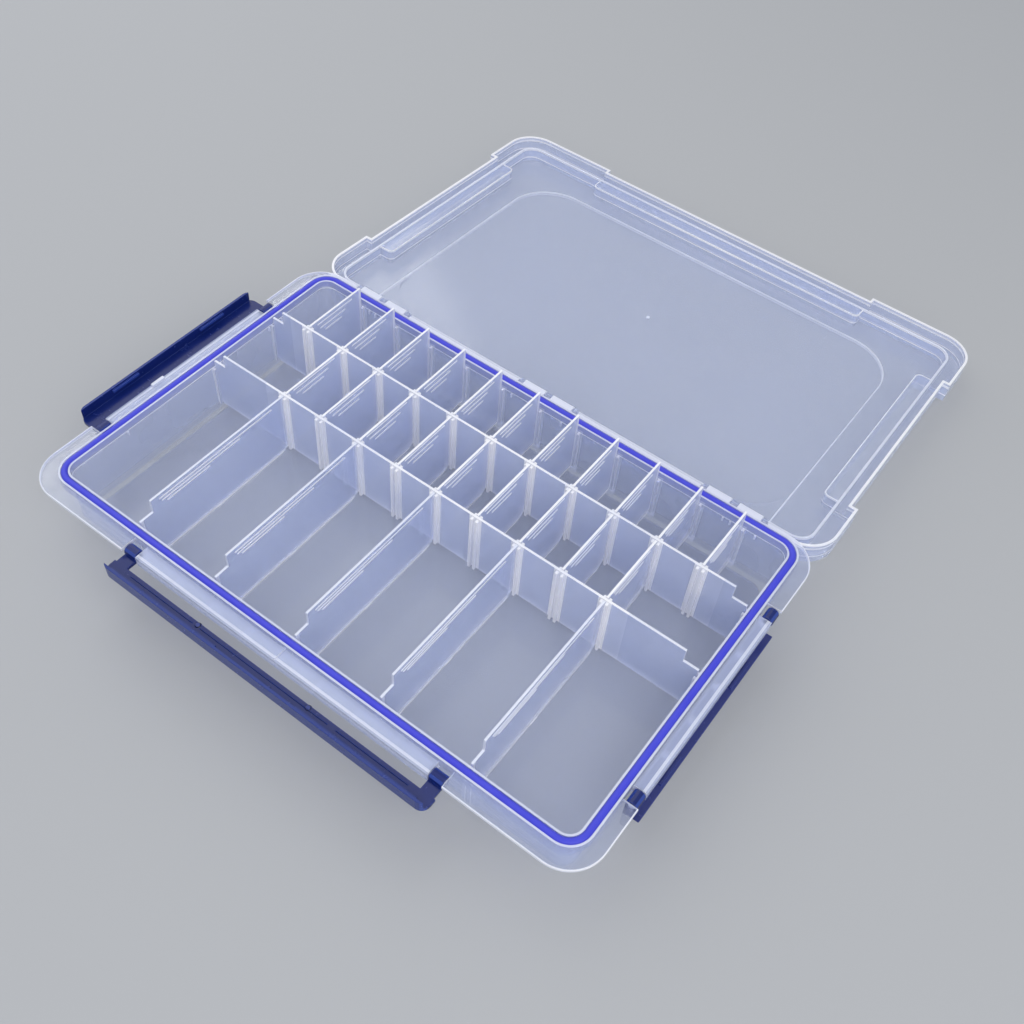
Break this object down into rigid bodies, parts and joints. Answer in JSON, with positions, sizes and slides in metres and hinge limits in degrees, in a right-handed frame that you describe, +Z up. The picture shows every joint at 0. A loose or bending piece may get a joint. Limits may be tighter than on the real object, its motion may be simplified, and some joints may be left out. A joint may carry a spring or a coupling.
{
  "type": "bead storage box",
  "caption": "Shallow clear storage box with a hinged lid, swinging latches on its other sides, a seal in the rim and lift-out dividers that make small compartments.",
  "frame": {"origin": "middle of the tray's underside", "axes": "+X along the long side to the right latch, +Y to the hinge side, +Z up"},
  "size_m": [0.3643, 0.4567, 0.0447],
  "materials": {
    "clear_polypropylene": "cloudy clear moulded plastic",
    "divider_plastic": "cloudy clear moulded plastic",
    "navy_plastic": "smooth moulded plastic",
    "seal_rubber": "soft matt"
  },
  "bodies": {
    "tray": {"tray": "clear_polypropylene", "seal": "seal_rubber"},
    "lid": {"lid": "clear_polypropylene"},
    "front_latch": {"front_latch": "navy_plastic"},
    "left_latch": {"left_latch": "navy_plastic"},
    "right_latch": {"right_latch": "navy_plastic"},
    "long_divider_back": {"long_divider_back": "divider_plastic"},
    "long_divider_front": {"long_divider_front": "divider_plastic"},
    "back_divider_1": {"back_divider_1": "divider_plastic"},
    "back_divider_2": {"back_divider_2": "divider_plastic"},
    "back_divider_3": {"back_divider_3": "divider_plastic"},
    "back_divider_4": {"back_divider_4": "divider_plastic"},
    "back_divider_5": {"back_divider_5": "divider_plastic"},
    "back_divider_6": {"back_divider_6": "divider_plastic"},
    "back_divider_7": {"back_divider_7": "divider_plastic"},
    "back_divider_8": {"back_divider_8": "divider_plastic"},
    "back_divider_9": {"back_divider_9": "divider_plastic"},
    "back_divider_10": {"back_divider_10": "divider_plastic"},
    "back_divider_11": {"back_divider_11": "divider_plastic"},
    "middle_divider_1": {"middle_divider_1": "divider_plastic"},
    "middle_divider_2": {"middle_divider_2": "divider_plastic"},
    "middle_divider_3": {"middle_divider_3": "divider_plastic"},
    "middle_divider_4": {"middle_divider_4": "divider_plastic"},
    "middle_divider_5": {"middle_divider_5": "divider_plastic"},
    "middle_divider_6": {"middle_divider_6": "divider_plastic"},
    "middle_divider_7": {"middle_divider_7": "divider_plastic"},
    "middle_divider_8": {"middle_divider_8": "divider_plastic"},
    "middle_divider_9": {"middle_divider_9": "divider_plastic"},
    "front_divider_1": {"front_divider_1": "divider_plastic"},
    "front_divider_2": {"front_divider_2": "divider_plastic"},
    "front_divider_3": {"front_divider_3": "divider_plastic"},
    "front_divider_4": {"front_divider_4": "divider_plastic"},
    "front_divider_5": {"front_divider_5": "divider_plastic"}
  },
  "joints": [
    {"name": "lid_hinge", "type": "hinge", "parent": "tray", "child": "lid", "pos_m": [0, 0.1078, 0.0325], "axis": [-1, 0, 0], "range_deg": [-183.3, 0]},
    {"name": "front_latch_hinge", "type": "hinge", "parent": "tray", "child": "front_latch", "pos_m": [0, -0.1106, 0.0308], "axis": [1, 0, 0], "range_deg": [-90, 90]},
    {"name": "left_latch_hinge", "type": "hinge", "parent": "tray", "child": "left_latch", "pos_m": [-0.1714, -0.0033, 0.0308], "axis": [0, -1, 0], "range_deg": [-90, 90]},
    {"name": "right_latch_hinge", "type": "hinge", "parent": "tray", "child": "right_latch", "pos_m": [0.1714, -0.0033, 0.0308], "axis": [0, 1, 0], "range_deg": [-180, 0]},
    {"name": "long_divider_back_lift", "type": "slide", "parent": "tray", "child": "long_divider_back", "axis": [0, 0, 1], "range_m": [0, 0.045]},
    {"name": "long_divider_front_lift", "type": "slide", "parent": "tray", "child": "long_divider_front", "axis": [0, 0, 1], "range_m": [0, 0.045]},
    {"name": "back_divider_1_lift", "type": "slide", "parent": "tray", "child": "back_divider_1", "axis": [0, 0, 1], "range_m": [0, 0.045]},
    {"name": "back_divider_2_lift", "type": "slide", "parent": "tray", "child": "back_divider_2", "axis": [0, 0, 1], "range_m": [0, 0.045]},
    {"name": "back_divider_3_lift", "type": "slide", "parent": "tray", "child": "back_divider_3", "axis": [0, 0, 1], "range_m": [0, 0.045]},
    {"name": "back_divider_4_lift", "type": "slide", "parent": "tray", "child": "back_divider_4", "axis": [0, 0, 1], "range_m": [0, 0.045]},
    {"name": "back_divider_5_lift", "type": "slide", "parent": "tray", "child": "back_divider_5", "axis": [0, 0, 1], "range_m": [0, 0.045]},
    {"name": "back_divider_6_lift", "type": "slide", "parent": "tray", "child": "back_divider_6", "axis": [0, 0, 1], "range_m": [0, 0.045]},
    {"name": "back_divider_7_lift", "type": "slide", "parent": "tray", "child": "back_divider_7", "axis": [0, 0, 1], "range_m": [0, 0.045]},
    {"name": "back_divider_8_lift", "type": "slide", "parent": "tray", "child": "back_divider_8", "axis": [0, 0, 1], "range_m": [0, 0.045]},
    {"name": "back_divider_9_lift", "type": "slide", "parent": "tray", "child": "back_divider_9", "axis": [0, 0, 1], "range_m": [0, 0.045]},
    {"name": "back_divider_10_lift", "type": "slide", "parent": "tray", "child": "back_divider_10", "axis": [0, 0, 1], "range_m": [0, 0.045]},
    {"name": "back_divider_11_lift", "type": "slide", "parent": "tray", "child": "back_divider_11", "axis": [0, 0, 1], "range_m": [0, 0.045]},
    {"name": "middle_divider_1_lift", "type": "slide", "parent": "tray", "child": "middle_divider_1", "axis": [0, 0, 1], "range_m": [0, 0.045]},
    {"name": "middle_divider_2_lift", "type": "slide", "parent": "tray", "child": "middle_divider_2", "axis": [0, 0, 1], "range_m": [0, 0.045]},
    {"name": "middle_divider_3_lift", "type": "slide", "parent": "tray", "child": "middle_divider_3", "axis": [0, 0, 1], "range_m": [0, 0.045]},
    {"name": "middle_divider_4_lift", "type": "slide", "parent": "tray", "child": "middle_divider_4", "axis": [0, 0, 1], "range_m": [0, 0.045]},
    {"name": "middle_divider_5_lift", "type": "slide", "parent": "tray", "child": "middle_divider_5", "axis": [0, 0, 1], "range_m": [0, 0.045]},
    {"name": "middle_divider_6_lift", "type": "slide", "parent": "tray", "child": "middle_divider_6", "axis": [0, 0, 1], "range_m": [0, 0.045]},
    {"name": "middle_divider_7_lift", "type": "slide", "parent": "tray", "child": "middle_divider_7", "axis": [0, 0, 1], "range_m": [0, 0.045]},
    {"name": "middle_divider_8_lift", "type": "slide", "parent": "tray", "child": "middle_divider_8", "axis": [0, 0, 1], "range_m": [0, 0.045]},
    {"name": "middle_divider_9_lift", "type": "slide", "parent": "tray", "child": "middle_divider_9", "axis": [0, 0, 1], "range_m": [0, 0.045]},
    {"name": "front_divider_1_lift", "type": "slide", "parent": "tray", "child": "front_divider_1", "axis": [0, 0, 1], "range_m": [0, 0.045]},
    {"name": "front_divider_2_lift", "type": "slide", "parent": "tray", "child": "front_divider_2", "axis": [0, 0, 1], "range_m": [0, 0.045]},
    {"name": "front_divider_3_lift", "type": "slide", "parent": "tray", "child": "front_divider_3", "axis": [0, 0, 1], "range_m": [0, 0.045]},
    {"name": "front_divider_4_lift", "type": "slide", "parent": "tray", "child": "front_divider_4", "axis": [0, 0, 1], "range_m": [0, 0.045]},
    {"name": "front_divider_5_lift", "type": "slide", "parent": "tray", "child": "front_divider_5", "axis": [0, 0, 1], "range_m": [0, 0.045]}
  ]
}
